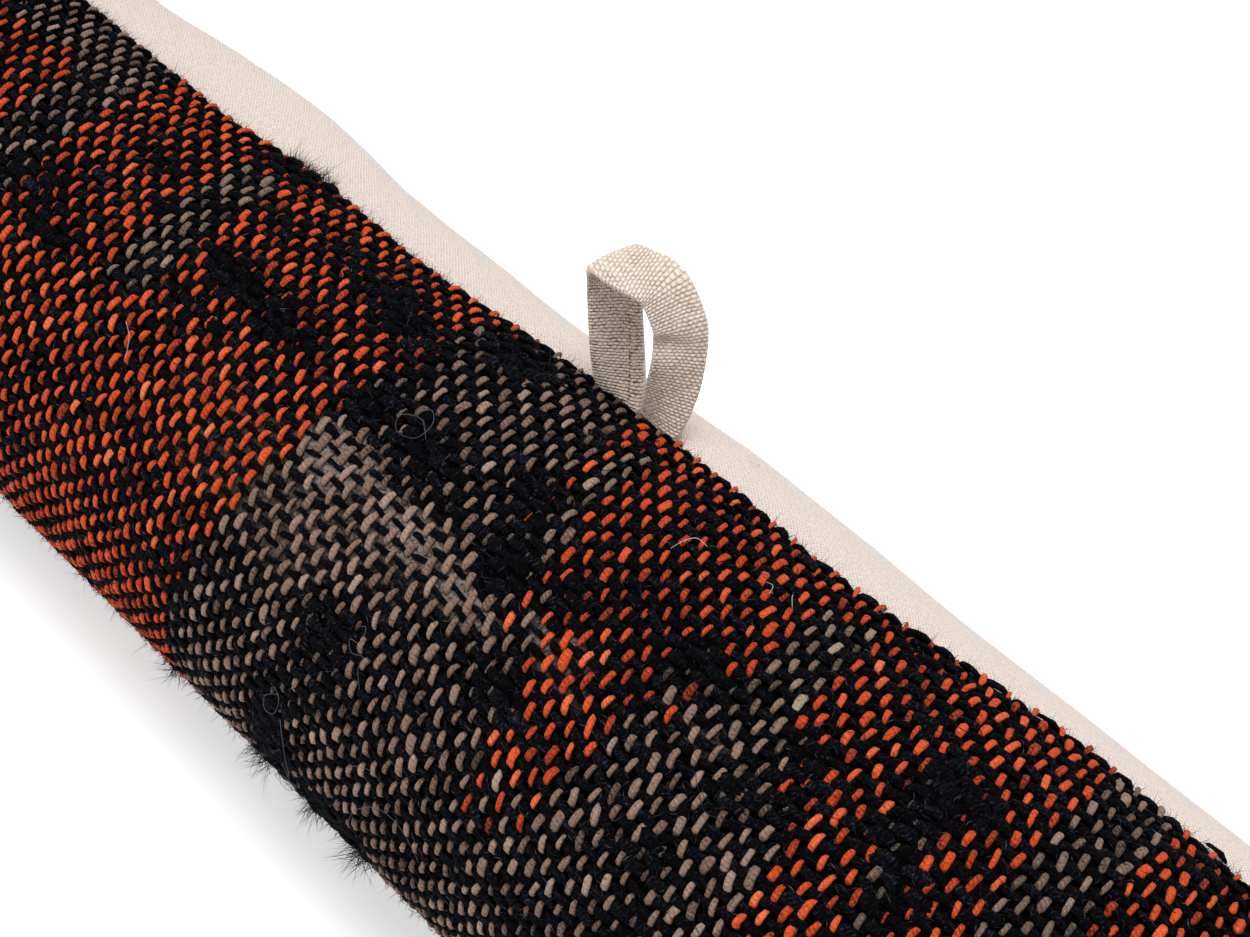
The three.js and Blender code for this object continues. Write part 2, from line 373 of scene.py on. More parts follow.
# The wool's pattern. The cloth is a plain weave: crosswise yarns lie 3 mm apart along the tube,
# and black lengthwise yarns 3.07 mm apart across it. seen: the stretch that the camera sees
weave = {
    "columnPitch": 3.0,
    "rowPitch": 3.07,
    "columns": (-170, 171),
    "rows": (-4, 68),
    "skew": 0.0416,
    "repeat": 292.0,
    "repeatStart": -150.0,
    "repeatShift": 31.0,
    "waveAlong": 2.2,
    "waveAcross": 2.0,
    "pastSeam": 0.6,
    "insideTipSeam": 1.6,
    "fromTip": 1.5,
    "seenCentre": -12.0,
    "seenReach": 166.0,
    "seenAcross": 147.0,
}

# Blocks of colour in the crosswise yarns, laid one over another: colour, from and to along the
# tube, from and to across it from the upper seam
colourBlocks = [
    ("taupe", -200, 200, -10, 220),
    ("orange", -150, -27, -10, 8),
    ("orange", -150, -39, 8, 20),
    ("orange", -150, -36, 20, 33),
    ("orange", -150, -43, 33, 50),
    ("orange", -150, -46, 50, 70),
    ("orange", -150, -48, 70, 82),
    ("orange", -150, -51, 82, 92),
    ("orange", -150, -54, 92, 106),
    ("orange", -150, -57, 106, 150),
    ("orange", -122, -95, 162, 190),
    ("orange", 42, 88, 134, 172),
    ("grey", 100, 114, 112, 190),
    ("grey", -114, -103, 13, 60),
    ("orange", 2, 8, 5, 22),
    ("orange", 5, 8, 22, 48),
    ("grey", 10, 14, 14, 50),
    ("orange", 8, 66, -10, 14),
    ("orange", 14, 66, 14, 38),
    ("orange", 17, 50, 38, 48),
    ("orange", 17, 21, 48, 67),
    ("orange", 24, 52, 48, 60),
    ("orange", 26, 50, 60, 68),
    ("orange", 30, 48, 68, 84),
    ("orange", 32, 35, 84, 104),
    ("orange", 38, 41, 84, 98),
    ("orange", 44, 48, 84, 91),
    ("orange", 56, 59, 38, 60),
    ("grey", 66, 78, 11, 50),
    ("orange", 66, 80, -10, 11),
    ("orange", 77, 127, -10, 28),
    ("orange", 78, 104, 28, 38),
    ("orange", 84, 105, 38, 50),
    ("orange", 90, 106, 50, 60),
    ("orange", 92, 109, 60, 84),
    ("grey", 109, 114, 50, 90),
    ("orange", 114, 127, 28, 75),
    ("grey", 127, 142, 22, 60),
]

# Places where black fibres cover the weave: along, across, half length, half width, strength
darkPatches = np.array([
    [-108, 3, 11, 6, 0.95], [-94, 20, 8, 5, 0.6], [-90, 39, 12, 6, 1.0], [-76, 16, 8, 5, 0.8],
    [-62, 19, 8, 6, 0.9], [-50, 21, 11, 9, 1.0], [-70, 40, 10, 5, 0.9], [-39, 44, 7, 7, 0.95],
    [-28, 11, 12, 7, 0.95], [-21, 47, 9, 6, 1.0], [4, 41, 6, 9, 1.0], [9, 54, 7, 7, 1.0],
    [22, 52, 4, 5, 0.9], [27, 74, 6, 6, 0.9], [55, 42, 9, 5, 0.95], [40, 42, 10, 4, 0.6],
    [86, 6, 6, 5, 0.7], [85, 45, 9, 5, 0.8], [81, 56, 9, 4, 0.7], [110, 36, 7, 8, 1.0],
    [108, 50, 5, 6, 0.9], [115, 58, 5, 6, 0.8], [-16, 91, 8, 8, 0.95], [-23, 125, 9, 20, 1.0],
    [-10, 103, 9, 8, 0.6], [67, 77, 8, 4, 0.7], [-128, 22, 8, 5, 0.6], [72, 96, 12, 4, 0.5],
    [101, 92, 10, 6, 0.6], [55, 112, 9, 7, 0.5], [-63, 104, 7, 6, 0.6], [-4, 140, 11, 8, 0.9],
    [37, 27, 27, 22, 0.15],
])

# Places where the black yarns are thin and the cloth's grey ground shows, in the same columns
openPatches = np.array([
    [-72, 56, 14, 6, 0.35], [-36, 58, 13, 9, 1.0], [-13, 63, 12, 7, 0.95], [7, 65, 10, 6, 0.95],
    [28, 58, 8, 5, 0.8], [36, 62, 14, 6, 0.5], [35, 93, 12, 5, 0.3], [16, 84, 8, 5, 0.25],
    [66, 52, 14, 5, 0.4], [-30, 76, 30, 15, 0.6], [8, 100, 16, 10, 0.25],
    [40, 92, 26, 10, 0.2], [-24, 57, 9, 6, 0.85], [-62, 70, 22, 16, 0.5],
    [-2, 118, 40, 14, 0.35],
])


# The pattern repeats along the tube, and each repeat starts further round than the last
def patternPlace(run, across):
    shifted = run - weave["repeatStart"]
    turn = np.floor(shifted / weave["repeat"])
    along = shifted - turn * weave["repeat"] + weave["repeatStart"]
    return along, across + weave["repeatShift"] * turn


# Strongest patch over a place: each fades with the fourth power of the distance
def patchAt(patches, run, across):
    level = np.zeros_like(run)
    for along, down, halfLength, halfWidth, strength in patches:
        far = ((run - along) / halfLength) ** 2 + ((across - down) / halfWidth) ** 2
        level = np.maximum(level, strength * np.exp(-0.7 * far**2))
    return level


# How far black fibres cover the cloth, from -1 in the open places to 1 in the dark ones. Noise
# breaks up the patches' outlines and adds loose fibres between them
def coverAt(run, across):
    place, down = patternPlace(run, across)
    rough = softNoise(3, run, across * 1.6, 9) * 0.6 + softNoise(4, run, across * 1.4, 4) * 0.4
    dark = patchAt(darkPatches, place + (rough - 0.5) * 12, down + wander(5, run, across, 5, 8))
    thin = patchAt(openPatches, place, down)
    loose = np.clip((rough - 0.60) * 3.2, 0, 1) * (1 - thin)
    return np.clip(np.maximum(dark, loose) - thin * (1 - dark), -1, 1)


# All the crossings of the two yarns: place on the cloth, colour of the yarn on top, and cover.
# In a plain weave every second crossing has the black yarn on top
def weaveCrossings():
    grids = np.meshgrid(np.arange(*weave["columns"]), np.arange(*weave["rows"]), indexing="ij")
    column, row = [grid.ravel() for grid in grids]
    along = column * weave["columnPitch"]
    across = (row + 0.5) * weave["rowPitch"]
    waveAlong = wander(11, along, across, 34, weave["waveAlong"])
    run = along + weave["skew"] * across + waveAlong
    down = across + wander(12, along, across, 30, weave["waveAcross"])
    place, patternDown = patternPlace(along, across)
    patternDown = patternDown + wander(13, along, across, 5, 5)
    names = np.full(len(column), "taupe", dtype="<U6")
    for name, start, end, top, bottom in colourBlocks:
        inside = (place >= start) & (place < end) & (patternDown >= top) & (patternDown < bottom)
        names[inside] = name
    names[(column + row) % 2 == 1] = "black"
    # round the tips the yarns end inside the seam
    atTip = np.abs(run) > tube["halfStraight"]
    keep = toPanelEdge(run, down) > np.where(atTip, weave["insideTipSeam"], -weave["pastSeam"])
    keep &= np.abs(run) < halfRun - weave["fromTip"]
    table = {"run": run, "across": down, "name": names, "cover": coverAt(along, across)}
    return {key: value[keep] for key, value in table.items()}


crossings = weaveCrossings()
print("crossings", len(crossings["run"]))

# How far the grains differ from each other: shares of their sizes, and millimetres of their top,
# of their place and of the yarn's pattern. Near a seam they lose a share of their width
grains = {
    "halfLength": 0.18,
    "halfWidth": 0.15,
    "halfHeight": 0.12,
    "top": 0.175,
    "place": 0.25,
    "pattern": 40.0,
    "seamShare": 0.35,
    "seamReach": 2.5,
}


# Grains of yarn that come up between two crossings: rings round a centre line that arches over
# the cloth. With step from -1 to 1 along it, the girth is the root of 1 - step^4, the line drops
# by |step|^2.8 and sways aside by up to a quarter of its width. tilt: its direction, from straight
# across towards +X. half: the half sizes along, across and up
def grainMesh(run, across, tilt, half, top, drop, rings, ringAngles, dice, unevenness):
    halfLength, halfWidth, halfHeight = [size[:, None] for size in half]
    steps = -np.cos(np.linspace(0, math.pi, rings + 2))[1:-1]
    turns = np.radians(np.asarray(ringAngles, float))
    girth = ((1 - np.abs(steps) ** 4) ** 0.5)[:, None]
    lateral, upward = [np.pad((wave(turns) * girth).ravel(), 1) for wave in (np.cos, np.sin)]
    onward = np.concatenate([[-1], np.repeat(steps, len(turns)), [1]])
    count, size = len(run), len(onward)
    lumps = 1 + dice.uniform(-unevenness, unevenness, (count, size))
    sway = dice.uniform(-0.25, 0.25, (count, 1)) * (1 - onward**2)
    side = (lateral * lumps + sway) * halfWidth
    length = onward * halfLength
    height = top[:, None] - drop * np.abs(onward) ** 2.8 + upward * lumps * halfHeight
    sine, cosine = np.sin(tilt)[:, None], np.cos(tilt)[:, None]
    points = clothPoint(run[:, None] + side * cosine + length * sine,
                        across[:, None] - side * sine + length * cosine, height)
    turnShare = np.concatenate([[0.25], np.tile(turns / (2 * math.pi), rings), [0.25]])
    uv = np.stack([length, np.broadcast_to(turnShare, length.shape)], axis=-1)
    return (points.reshape(-1, 3), copiedFaces(ringFaces(rings, len(turns)), count, size),
            uv.reshape(-1, 2), size)


def makeGrains(name, chosen, shape, rings, ringAngles, material):
    picked = {key: value[chosen] for key, value in crossings.items()}
    count = len(picked["run"])
    dice = np.random.default_rng(shape["seed"])
    about = lambda reach: dice.uniform(-reach, reach, count)
    dark = np.clip(picked["cover"], 0, 1)
    thin = np.clip(-picked["cover"], 0, 1)
    # how full each grain is, by soft noise over the cloth and by chance
    plump = 0.62 + 0.3 * softNoise(17, picked["run"], picked["across"], 7)
    plump = plump + 0.3 * dice.random(count)
    half = {}
    for key in ("halfLength", "halfWidth", "halfHeight"):
        plain, byCover, byOpen = shape[key]
        half[key] = plain * (1 + byCover * dark + byOpen * thin) * (1 + about(grains[key]))
    edge = toPanelEdge(picked["run"], picked["across"])
    nearSeam = np.exp(-((np.maximum(edge, 0) / grains["seamReach"]) ** 2))
    half["halfLength"] *= 0.35 + 0.65 * plump
    half["halfWidth"] *= plump * (1 - grains["seamShare"] * nearSeam)
    plain, byCover, byOpen = shape["top"]
    top = plain + byCover * dark + byOpen * thin
    # the panel does not follow the seam's dip: its turned-in edge stands proud of the cotton
    top = top + about(grains["top"]) + seamDip(edge)
    tilt = np.radians(shape["tilt"] + about(shape["tiltSpread"]))
    run = picked["run"] + about(grains["place"])
    across = picked["across"] + about(grains["place"])
    points, faces, uv, size = grainMesh(
        run, across, tilt, half.values(), top, shape["drop"], rings, ringAngles, dice,
        shape["unevenness"])
    tone = 0.55 + shape["toneSpread"] * dice.normal(size=count)
    tone = np.clip(tone * (1 - shape["toneByCover"] * dark), 0, 1)
    # each grain starts at its own place of the yarn's pattern
    uv[:, 0] += np.repeat(dice.random(count) * grains["pattern"], size)
    return makePiece(name, points, faces, material, uv, {"tone": np.repeat(tone, size)})


# Wool yarn, carded and loosely spun from two plies, so it is matt with a soft halo and a slow
# twist: a ply passes every 1.1 mm. stops: the colours of the darkest to the palest grain
def woolYarn(name, stops, gloss=0.12, twist=0.4, bumpHeight=0.42, contrast=1.8):
    material, tree, shader = newMaterial(
        name, Roughness=0.9, Sheen_Weight=gloss * 0.4, Sheen_Roughness=0.5,
        Specular_IOR_Level=gloss)
    tone = addNode(tree, "Attribute", {"attribute_name": "tone"})
    # the map runs in millimetres along the grain, and once round it
    cloth = addNode(tree, "UVMap", {"uv_map": "ClothMap"})
    turned = addNode(tree, "Mapping", Vector=(cloth, "UV"), Scale=(1 / 1.1, 2.0, 1))
    strand = addNode(tree, "TexWave", {"bands_direction": "DIAGONAL"}, Scale=0.628,
                     Vector=(turned, "Vector"), Distortion=1.4, Detail=2.0, Detail_Scale=2.0)
    # fibres drawn along the yarn: the coarsest are 0.6 mm long and an eighth of the way round
    drawn = addNode(tree, "Mapping", Vector=(cloth, "UV"), Scale=(1.7, 8.0, 1))
    fibre = addNode(tree, "TexNoise", Vector=(drawn, "Vector"), Scale=1.0, Detail=4.0,
                    Roughness=0.75)
    # fibre noise in the colour: partly the fibres' own tone, partly painted sheen highlights on single
    # fibres
    fibreToneAndSheen = addNode(tree, "Math", multiplyAdd, i0=(fibre, "Fac"), i1=contrast, i2=(tone, "Fac"))
    # painted shade: the twist's bands also lighten the plies' crowns and darken the grooves between
    # them in the colour
    mixed = addNode(tree, "Math", multiplyAdd, i0=(strand, "Fac"), i1=0.12, i2=(fibreToneAndSheen, 0))
    level = addNode(tree, "Math", subtract, i0=(mixed, 0), i1=0.06 + contrast / 2)
    addNode(tree, "ValToRGB", stops=stops, to=shader.inputs["Base Color"], Fac=(level, 0))
    height = addNode(tree, "Math", multiplyAdd, i0=(strand, "Fac"), i1=twist, i2=(fibre, "Fac"))
    addNode(tree, "Bump", to=shader.inputs["Normal"], Height=(height, 0), Strength=1.0,
            Distance=bumpHeight * mm)
    return material


orangeWool = woolYarn("orangeWool", {0.0: "34120B", 0.25: "93300F", 0.5: "D4491B",
                                     0.75: "E45C2C", 1.0: "F0814E"})
taupeWool = woolYarn("taupeWool", {0.0: "241C18", 0.25: "58473E", 0.5: "84695B",
                                   0.75: "9A7F70", 1.0: "B59C8C"})
greyWool = woolYarn("greyWool", {0.0: "241E1A", 0.25: "54463B", 0.5: "7E6859",
                                 0.75: "937D6D", 1.0: "AE9A8A"})
# the black wool's pale bluish stops are partly bluish fibres, partly painted sheen highlights on the
# black fibres
blackWool = woolYarn("blackWool", {0.0: "020203", 0.5: "060608", 0.68: "0D0D12",
                                   0.82: "1D1E28", 1.0: "3B3E4B"}, 0.02, 0.1, 0.7, contrast=2.3)

# Crosswise yarns: plump grains. A half size is followed by the shares that it gains where black
# fibres cover the cloth and where it is open, and top by the millimetres. fine and coarse: the
# rings of a grain and the angles of their points, where the camera sees it and elsewhere
crosswiseYarn = {
    "seed": 51,
    "unevenness": 0.2,
    "halfLength": (2.6, -0.35, 0.10),
    "halfWidth": (0.84, -0.30, 0.08),
    "halfHeight": (0.6, -0.2, 0.05),
    "top": (-0.25, -0.55, 0.0),
    "drop": 1.4,
    "tilt": 7.0,
    "tiltSpread": 13.0,
    "toneSpread": 0.15,
    "toneByCover": 0.75,
    "fine": (5, [0, 42, 90, 138, 180, 270]),
    "coarse": (2, [0, 90, 180, 270]),
}

# Black lengthwise yarns: flatter, and thin where the cloth is open
lengthwiseYarn = {
    "seed": 61,
    "unevenness": 0.45,
    "halfLength": (2.9, 0.25, 0.05),
    "halfWidth": (1.22, 0.35, -0.46),
    "halfHeight": (0.62, 0.30, -0.25),
    "top": (-0.62, 0.55, 0.1),
    "drop": 0.6,
    "tilt": 88.0,
    "tiltSpread": 13.0,
    "toneSpread": 0.05,
    "toneByCover": 0.0,
    "fine": (4, [0, 55, 125, 180, 270]),
    "coarse": (2, [20, 160, 270]),
}

seen = np.abs(crossings["run"] - weave["seenCentre"]) < weave["seenReach"]
seen &= crossings["across"] < weave["seenAcross"]
woolPieces = []
for part, yarn, material in (
        ("orange", crosswiseYarn, orangeWool), ("taupe", crosswiseYarn, taupeWool),
        ("grey", crosswiseYarn, greyWool), ("black", lengthwiseYarn, blackWool)):
    for zone, inZone, rings in (("Middle", seen, yarn["fine"]), ("Ends", ~seen, yarn["coarse"])):
        shape = dict(yarn, seed=yarn["seed"] + len(woolPieces))
        woolPieces.append(makeGrains(part + "Yarns" + zone, (crossings["name"] == part) & inZone,
                                     shape, *rings, material))


# A closed shell over the tube: a ring of points round it at each run, and one at each tip. Its
# map is in millimetres, 1.06 to a degree
def closedTube(name, runs, angles, heights, material, values=None):
    runGrid = np.broadcast_to(runs[:, None], angles.shape)
    points = liftedPoint(runGrid, angles, heights)
    tips = points[[0, -1]].mean(axis=1)
    points = np.concatenate([tips[:1], points.reshape(-1, 3), tips[1:]])
    columns = {key: np.concatenate([[grid[0].mean()], grid.ravel(), [grid[-1].mean()]])
               for key, grid in (values or {}).items()}
    uv = np.stack([runGrid.ravel(), (angles * 1.06).ravel()], axis=-1)
    uv = np.concatenate([[[runs[0], 0]], uv, [[runs[-1], 0]]])
    return makePiece(name, points, ringFaces(*angles.shape), material, uv, columns)


# The wool's ground: the cloth's body below the raised yarns, dark, and grey-tan where it is open
groundCloth = {
    "fineSteps": 270,
    "fineFrom": -180.0,
    "fineTo": 155.0,
    "coarseSteps": 62,
    "acrossSteps": 92,
    "underSteps": 22,
    "topHeight": -1.55,
    "underHeight": -2.4,
    "feltRise": 1.45,
    "feltLumps": 1.5,
    "openRise": 0.45,
    "edgeReach": 3.0,
}
groundMaterial, tree, shader = newMaterial(
    "woolGround", Roughness=0.95, Specular_IOR_Level=0.02)
openness = addNode(tree, "Attribute", {"attribute_name": "open"})
place = addNode(tree, "TexCoord")
# felted fibres about 0.7 mm apart
felt = addNode(tree, "TexNoise", Vector=(place, "Object"), Scale=1500.0, Detail=4.0)
shade = addNode(tree, "Math", multiply, i0=(felt, "Fac"), i1=1.9)
level = addNode(tree, "Math", multiply, i0=(shade, 0), i1=(openness, "Fac"))
addNode(tree, "ValToRGB", stops={0.0: "020203", 0.3: "08080A", 0.62: "453E3A", 1.0: "847A72"},
        to=shader.inputs["Base Color"], Fac=(level, 0))
addNode(tree, "Bump", to=shader.inputs["Normal"], Height=(felt, "Fac"), Strength=0.7,
        Distance=0.5 * mm)

# the runs are even where the camera sees them; past that they start wide apart and close up
# towards the tip by a sine
tipSteps = np.sin(np.linspace(0.3, 1, groundCloth["coarseSteps"]) * math.pi / 2 * 0.95)
tipSteps = (tipSteps - tipSteps[0]) / (tipSteps[-1] - tipSteps[0])
fineFrom, fineTo = groundCloth["fineFrom"], groundCloth["fineTo"]
runs = np.concatenate([
    (fineFrom + (-halfRun + 1.0 - fineFrom) * tipSteps)[:0:-1],
    np.linspace(fineFrom, fineTo, groundCloth["fineSteps"]),
    (fineTo + (halfRun - 1.0 - fineTo) * tipSteps)[1:],
])
beside = lambda left, right: np.concatenate([left, right], axis=1)
upper, lower, degree = seamColumns(runs)
topAngles = upper + (lower - upper) * np.linspace(0, 1, groundCloth["acrossSteps"])
underAngles = lower + (upper - lower) * np.linspace(0, 1, groundCloth["underSteps"])
acrossGrid = (topAngles - upper) * degree
runGrid = np.broadcast_to(runs[:, None], acrossGrid.shape)
toEdge = np.minimum(acrossGrid, (lower - topAngles) * degree)
underEdge = np.minimum(underAngles - upper, lower - underAngles) * degree
cover = coverAt(runGrid - weave["skew"] * acrossGrid, acrossGrid)
# the felted places rise in small lumps until they hide most of the grains
lumps = softNoise(15, runGrid, acrossGrid, 2.6) * 0.6
lumps = lumps + softNoise(16, runGrid, acrossGrid, 1.4) * 0.4
felted = groundCloth["feltRise"] + (lumps - 0.5) * groundCloth["feltLumps"]
edgeFade = 1 - np.exp(-((toEdge / groundCloth["edgeReach"]) ** 2))
topHeights = groundCloth["topHeight"] + np.clip(cover, 0, 1) * felted * edgeFade
topHeights += groundCloth["openRise"] * np.clip(-cover, 0, 1) + seamDip(toEdge)
heights = beside(topHeights, groundCloth["underHeight"] + seamDip(underEdge))
openGrid = beside(np.clip(-cover, 0, 1), np.zeros(underAngles.shape))
woolCloth = closedTube("woolCloth", runs, beside(topAngles, underAngles), heights,
                       groundMaterial, {"open": 0.10 + openGrid * 0.90})

# The filled body with its cotton back
cotton = {
    "steps": 420,
    "backSteps": 54,
    "underSteps": 10,
    "backDepth": 0.6,
    "underDepth": 2.7,
    "threadPitch": 0.5,
    "gatherReach": 9.0,
    "slowReach": 12.0,
    "pressedBelow": 12.0,
    "swellFrom": 16.0,
    "swellCentre": 64.0,
    "swellReach": 45.0,
    "calmSize": 0.45,
}
# how far the filling swells the back, at places along the tube
swellPlaces = [-260, -195, -186, -176, -165, -154, -145, -137, -130, -120, -111, -102, -93, -73,
               -63, -54, -38, -10, 10, 17, 31, 52, 65, 80]
swellHeights = [0.3, 1.0, 1.8, 3.2, 4.4, 5.0, 4.9, 4.5, 4.1, 3.1, 2.1, 1.2, 1.5, 2.3,
                2.3, 1.8, 1.2, 1.2, 1.7, 1.8, 1.3, 1.3, 0.6, 0.0]
# Unbleached calico, plain woven and matt, with slightly uneven threads
calico, tree, shader = newMaterial(
    "cottonCalico", Roughness=0.85, Sheen_Weight=0.15, Specular_IOR_Level=0.25)
place = addNode(tree, "TexCoord")
slub = addNode(tree, "TexNoise", Vector=(place, "Object"), Scale=1600.0, Detail=3.0)
cloth = addNode(tree, "UVMap", {"uv_map": "ClothMap"})
# threads 0.5 mm apart both ways go over and under, so the pattern repeats after two of them: the
# product of two waves about zero; a wave texture repeats every 0.314 / scale
bands = []
for direction in ("X", "Y"):
    wave = addNode(tree, "TexWave", {"bands_direction": direction}, Vector=(cloth, "UV"),
                   Scale=0.314 / (2 * cotton["threadPitch"]), Distortion=0.8, Detail=1.0)
    bands.append(addNode(tree, "Math", subtract, i0=(wave, "Fac"), i1=0.5))
crossed = addNode(tree, "Math", multiply, i0=(bands[0], 0), i1=(bands[1], 0))
mixed = addNode(tree, "Math", multiplyAdd, i0=(crossed, 0), i1=0.9, i2=(slub, "Fac"))
addNode(tree, "ValToRGB", stops={0.25: "D6C6BB", 0.5: "EEDFD5", 0.75: "F7EBE3"},
        to=shader.inputs["Base Color"], Fac=(mixed, 0))
addNode(tree, "Bump", to=shader.inputs["Normal"], Height=(crossed, 0), Strength=1.0,
        Distance=0.7 * mm)

runs = np.sin(np.linspace(-1, 1, cotton["steps"]) * math.pi / 2 * 0.93)
runs = runs / runs[-1] * (halfRun - 1.0)
upper, lower, degree = seamColumns(runs)
backShares = (1 - np.cos(np.linspace(0, 1, cotton["backSteps"]) * math.pi)) / 2
underShares = np.linspace(0, 1, cotton["underSteps"] + 2)[1:-1]
backAngles = lower + (upper + 360 - lower) * backShares
underAngles = upper + (lower - upper) * underShares
arc = (backAngles - lower) * degree
fullArc = (upper + 360 - lower) * degree
toSeam = np.minimum(arc, fullArc - arc)
runGrid = np.broadcast_to(runs[:, None], arc.shape)
# small gathers that run out from the seam and fade within 15 mm, and a slow unevenness of filling
gather = wander(21, runGrid, toSeam * 0.15, 5.0, 0.9) * np.exp(-((toSeam / cotton["gatherReach"]) ** 2))
slow = wander(22, runGrid, arc, 26, 1.1) * (1 - np.exp(-((toSeam / cotton["slowReach"]) ** 2)))
# the swell starts at the upper seam and fades towards the floor
toUpper = (fullArc - arc) / cotton["swellFrom"]
below = np.maximum(360 - backAngles - cotton["swellCentre"], 0) / cotton["swellReach"]
swell = np.interp(runGrid, swellPlaces, swellHeights)
swell = swell * (1 - np.exp(-toUpper**2)) * np.exp(-below**2)
# it is pressed flat at the floor, and the tips stay smooth
pressed = np.clip(facePoint(runGrid, backAngles)[..., 2] / cotton["pressedBelow"], 0, 1)
calm = np.clip(station(runs)[1] / cotton["calmSize"], 0, 1)[:, None] ** 2
backHeights = -cotton["backDepth"] + (gather + slow + swell) * pressed * calm
underHeights = np.full(underAngles.shape, -cotton["underDepth"])
cottonBack = closedTube("cottonBack", runs, beside(backAngles, underAngles),
                        beside(backHeights, underHeights), calico)

# The hanging loop: a folded tape of coarse linen canvas
loop = {
    "width": 11.6,
    "thickness": 1.8,
    "edge": 0.45,
    "steps": 620,
    "faceSteps": 22,
    "edgeSteps": 5,
    "crown": 0.3,
    "wideLeg": 0.11,
    "wideReach": 34.0,
    "narrowFoot": 0.14,
    "narrowReach": 14.0,
    "bow": 1.3,
    "bowPlace": 5.1,
    "bowReach": 1.1,
    "fold": 1.3,
    "foldPlace": 9.05,
    "foldReach": 0.4,
    "weftPitch": 0.84,
    "rowStretch": 1.7,
    "warpPitch": 1.15,
    "threadHeight": 0.27,
    "hemFrom": 3.1,
    "hemHeight": 0.38,
    "footHeight": 0.4,
}
# Its path, measured from the seam: along, rise, back, turn of the width from +X, lift of the width
loopPath = np.array([
    [-6.2, 0.4, 0.1, 0, 0], [-8.6, 7.4, 1.6, 26, 0], [-11.1, 16.1, 3.5, 44, 0],
    [-13.1, 23.9, 5.2, 46, 0], [-14.3, 29.8, 6.3, 52, 6], [-13.8, 35.6, 6.2, 60, 15],
    [-8.5, 37.5, 6.6, 68, 12], [-1.7, 36.8, 7.8, 64, 13], [2.8, 30.4, 7.8, 58, 10],
    [4.5, 25.4, 7.2, 50, 3], [5.5, 17.6, 5.1, 44, -1], [5.6, 8.6, 2.6, 22, 0],
    [5.2, 0.4, 0.1, -6, 0],
])
seamAngle = panelAt(np.zeros(1))[1]
seat = facePoint(np.zeros(1), -seamAngle)[0]

# Linen canvas, woven of thick dull threads: the map counts threads, so each brick of the pattern
# is one thread's float
linen, tree, shader = newMaterial(
    "linenTape", Roughness=0.88, Sheen_Weight=0.15, Specular_IOR_Level=0.2)
tone = addNode(tree, "Attribute", {"attribute_name": "tone"})
place = addNode(tree, "TexCoord")
cloth = addNode(tree, "UVMap", {"uv_map": "ClothMap"})
slub = addNode(tree, "TexNoise", Vector=(place, "Object"), Scale=900.0, Detail=4.0)
floats = addNode(tree, "TexBrick", {"offset": 0.5}, Vector=(cloth, "UV"), Scale=1.0,
                 Mortar_Size=0.30, Mortar_Smooth=1.0, Brick_Width=1.0, Row_Height=loop["rowStretch"])
# painted shade: the gaps between the thread floats, the bricks' mortar, are darkened in the colour as
# well as lowered in the bump
floatGapShade = addNode(tree, "Math", multiplyAdd, i0=(floats, "Fac"), i1=-0.36, i2=(tone, "Fac"))
level = addNode(tree, "Math", multiplyAdd, i0=(slub, "Fac"), i1=0.5, i2=(floatGapShade, 0))
addNode(tree, "ValToRGB", stops={0.0: "5E4833", 0.35: "BFA58C", 0.65: "E6D4C3", 1.0: "F1E4D7"},
        to=shader.inputs["Base Color"], Fac=(level, 0))
fibre = addNode(tree, "TexNoise", Vector=(place, "Object"), Scale=3500.0, Detail=3.0)
rise = addNode(tree, "Math", multiplyAdd, i0=(floats, "Fac"), i1=-1.2, i2=(fibre, "Fac"))
addNode(tree, "Bump", to=shader.inputs["Normal"], Height=(rise, 0), Strength=1.0,
        Distance=0.24 * mm)

# centre line, and the directions of the tape's width and of its face, at even places on the path
places = np.linspace(0, len(loopPath) - 1, loop["steps"])
pathRows = smoothRows(loopPath, places)
centre = pathRows[:, [0, 2, 1]] + seat
turn, lift = np.radians(pathRows[:, 3]), np.radians(pathRows[:, 4])
width = np.stack([np.cos(turn) * np.cos(lift), np.sin(turn) * np.cos(lift), np.sin(lift)], axis=1)
onward = unit(np.gradient(centre, axis=0))
width = unit(width - onward * (width * onward).sum(axis=1, keepdims=True))
facing = np.cross(width, onward)
length = np.concatenate([[0], np.cumsum(np.linalg.norm(np.diff(centre, axis=0), axis=1))])

# section: two flat faces with rounded edges between them, as across and through
half, thick, edge = loop["width"] / 2, loop["thickness"] / 2, loop["edge"]
flatShares = np.linspace(-1, 1, loop["faceSteps"]) * (half - edge)
roundTurns = np.radians(np.linspace(-90, 90, loop["edgeSteps"] + 2))[1:-1]
flatFace = np.stack([flatShares, np.full(len(flatShares), -thick)], axis=1)
roundEdge = np.stack([half - edge + edge * np.cos(roundTurns), thick * np.sin(roundTurns)], axis=1)
section = np.concatenate([flatFace, roundEdge, -flatFace, -roundEdge])
across, through = section[:, 0][None, :], section[:, 1][None, :]
inner = np.sign(section[:, 1])[None, :]
# the folded tape is fuller along its middle, its first leg a little wider on the hem's side, and
# its other leg narrower at the foot
through = through * (1 + loop["crown"] * (1 - (across / half) ** 2))
atStart = np.clip(1 - length / loop["wideReach"], 0, 1)[:, None]
atEnd = np.clip(1 - (length[-1] - length) / loop["narrowReach"], 0, 1)[:, None]
across = across * (1 + loop["wideLeg"] * atStart * (across > 0))
across = across * (1 - loop["narrowFoot"] * atEnd)
# over its bend the tape bows outwards across its width
bow = loop["bow"] * np.exp(-(((places - loop["bowPlace"]) / loop["bowReach"]) ** 2))[:, None]
through = through - bow * (1 - (across / half) ** 2)
# below the bend a fold runs across the tape, deepest at the edge without the hem
foldAt = loop["foldPlace"] + 0.15 * (1 + across / half)
fold = loop["fold"] * np.exp(-(((places[:, None] - foldAt) / loop["foldReach"]) ** 2))
through = through + fold * (0.6 - 0.4 * across / half)
